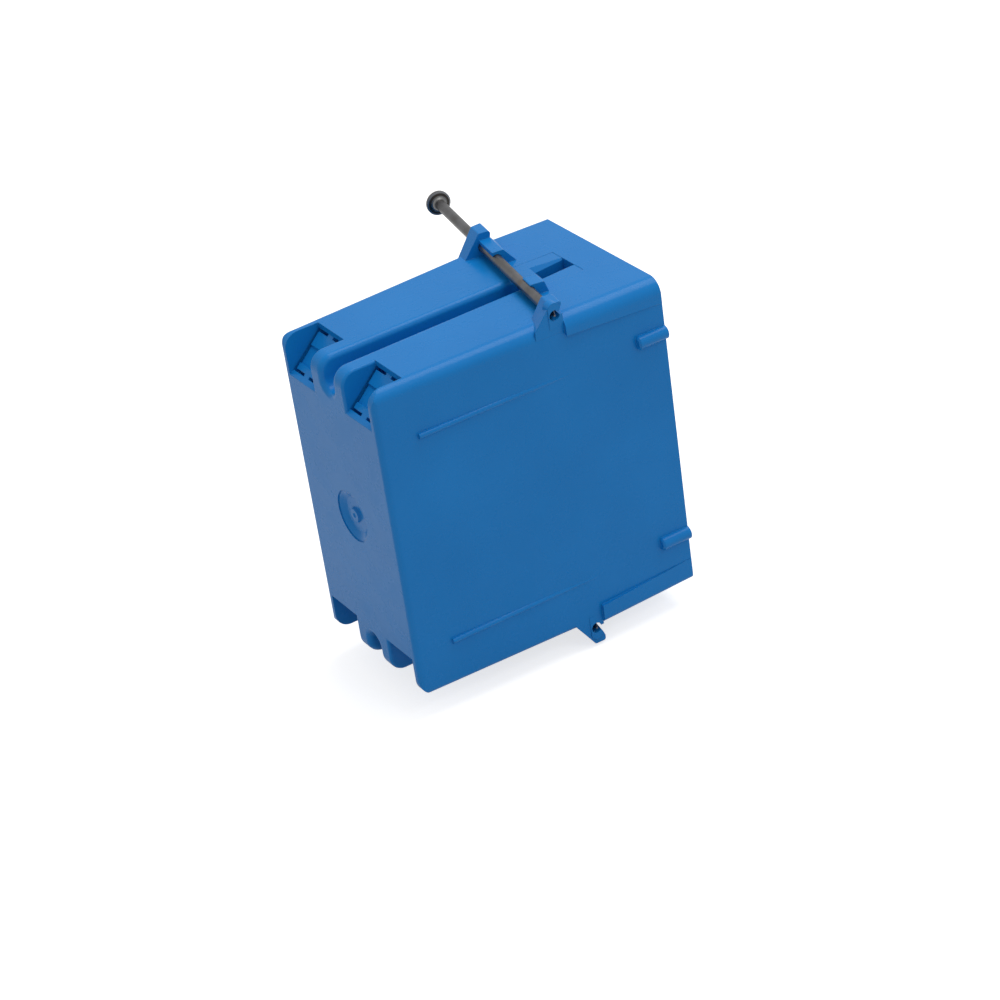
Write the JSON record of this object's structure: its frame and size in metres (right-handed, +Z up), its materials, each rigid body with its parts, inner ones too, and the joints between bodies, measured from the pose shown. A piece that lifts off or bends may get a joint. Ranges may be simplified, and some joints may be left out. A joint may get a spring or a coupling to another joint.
{
  "type": "outlet box",
  "caption": "Deep single-gang nail-on outlet box moulded in blue plastic, open at the front, with captive steel nails slanting through lugs above and below.",
  "frame": {"origin": "in the plane of the front rim, midway between the two device screw holes", "axes": "-Y out of the open front towards the room, +Z up, -X towards the stud that the box is nailed to"},
  "size_m": [0.0847, 0.0889, 0.1089],
  "materials": {
    "blue_plastic": "moulded thermoplastic, low satin gloss",
    "nail_steel": "bright wire nail, dull drawn surface"
  },
  "bodies": {
    "box": {"box": "blue_plastic"},
    "nail_top": {"nail_top": "nail_steel"},
    "nail_bottom": {"nail_bottom": "nail_steel"}
  },
  "joints": [
    {"name": "nail_top_slide", "type": "slide", "parent": "box", "child": "nail_top", "axis": [-0.9847, 0.1736, -0.0122], "range_m": [0, 0.026]},
    {"name": "nail_bottom_slide", "type": "slide", "parent": "box", "child": "nail_bottom", "axis": [-0.9847, 0.1736, 0.0122], "range_m": [0, 0.026]}
  ]
}
